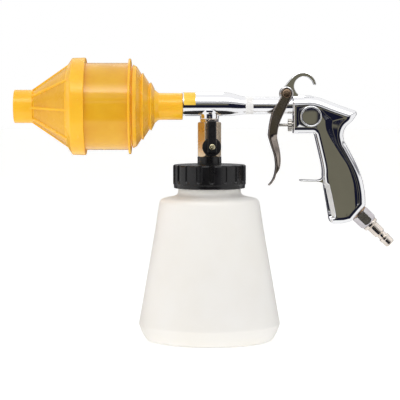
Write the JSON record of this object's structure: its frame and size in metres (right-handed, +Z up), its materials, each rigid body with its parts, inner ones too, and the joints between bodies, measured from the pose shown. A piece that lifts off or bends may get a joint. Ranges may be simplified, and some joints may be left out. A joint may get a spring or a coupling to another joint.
{
  "type": "foam cleaning gun",
  "caption": "Air-driven foam cleaning gun: yellow foaming head, chrome pistol body with trigger and hanging hook, brass ball valve and white suction bottle.",
  "frame": {"origin": "centre of the bottle's base, on the surface it stands on", "axes": "+Z up the bottle's axis, the nozzle points to -X, the grip is on +X and the ball valve's lever is on the -Y side"},
  "size_m": [0.3322, 0.124, 0.2474],
  "materials": {
    "hdpe_natural": "blow-moulded, translucent white",
    "black_pp": "moulded, fine satin",
    "yellow_pp": "moulded, satin",
    "amber_abs": "moulded, glossy",
    "rubber_black": "moulded",
    "ptfe_white": "turned",
    "pe_clear": "extruded",
    "brass": "turned hexagon bar",
    "chrome": "chrome plated, polished",
    "dark_chrome": "black nickel plated steel",
    "steel": "turned",
    "nickel": "nickel plated",
    "copper_steel": "coppered rivet",
    "lever_black": "black oxide",
    "sponge": "knitted mesh pad"
  },
  "bodies": {
    "bottle": {"bottle": "hdpe_natural"},
    "gun": {"cap_gasket": "rubber_black", "bottle_adapter": "black_pp", "dip_tube": "pe_clear", "tube_strainer": "steel", "ball_valve_body": "brass", "ball_seats": "ptfe_white", "seat_retainer": "brass", "valve_packing": "ptfe_white", "packing_nut": "brass", "valve_nipple": "nickel", "mixing_barrel": "chrome", "barrel_tube": "chrome", "air_tube": "pe_clear", "tube_bushing": "brass", "air_jet": "brass", "spray_nozzle": "brass", "sleeve_o_rings": "rubber_black", "rear_cone": "yellow_pp", "canister": "amber_abs", "nozzle_cone": "yellow_pp", "front_screen": "steel", "rear_screen": "steel", "foam_pad": "sponge", "gun_body": "chrome", "side_discs": "dark_chrome", "inlet_adapter": "dark_chrome", "inlet_washer": "copper_steel", "air_plug": "nickel", "valve_sleeve": "brass", "gland_nut": "steel", "stem_packing": "ptfe_white", "return_spring": "steel", "trigger_rivet": "copper_steel"},
    "cap": {"bottle_cap": "black_pp"},
    "lever": {"valve_ball": "chrome", "ball_stem": "brass", "lever_plate": "lever_black", "lever_sleeve": "black_pp", "lever_screw": "steel"},
    "trigger": {"trigger": "dark_chrome"},
    "valve_stem": {"valve_stem": "steel", "poppet_washer": "rubber_black"}
  },
  "joints": [
    {"name": "gun_lift", "type": "slide", "parent": "bottle", "child": "gun", "axis": [0, 0, 1], "range_m": [0, 0.0075]},
    {"name": "cap_turn", "type": "hinge", "parent": "gun", "child": "cap", "pos_m": [0, 0, 0.15], "axis": [0, 0, 1], "range_deg": [0, 540]},
    {"name": "lever_turn", "type": "hinge", "parent": "gun", "child": "lever", "pos_m": [0, 0, 0.1697], "axis": [-0.1392, 0.9903, 0], "range_deg": [0, 90]},
    {"name": "trigger_pull", "type": "hinge", "parent": "gun", "child": "trigger", "pos_m": [0.067, 0, 0.2161], "axis": [0, -1, 0], "range_deg": [0, 12], "stiffness_Nm_per_rad": 0.6, "springref_deg": -20.05},
    {"name": "stem_slide", "type": "slide", "parent": "gun", "child": "valve_stem", "axis": [1, 0, 0], "range_m": [0, 0.0058], "deforming": ["return_spring"]}
  ],
  "couplings": [
    {"joint": "cap_turn", "follows": "gun_lift", "rad_per_m": 1256.6},
    {"joint": "stem_slide", "follows": "trigger_pull", "m_per_rad": 0.0276}
  ]
}
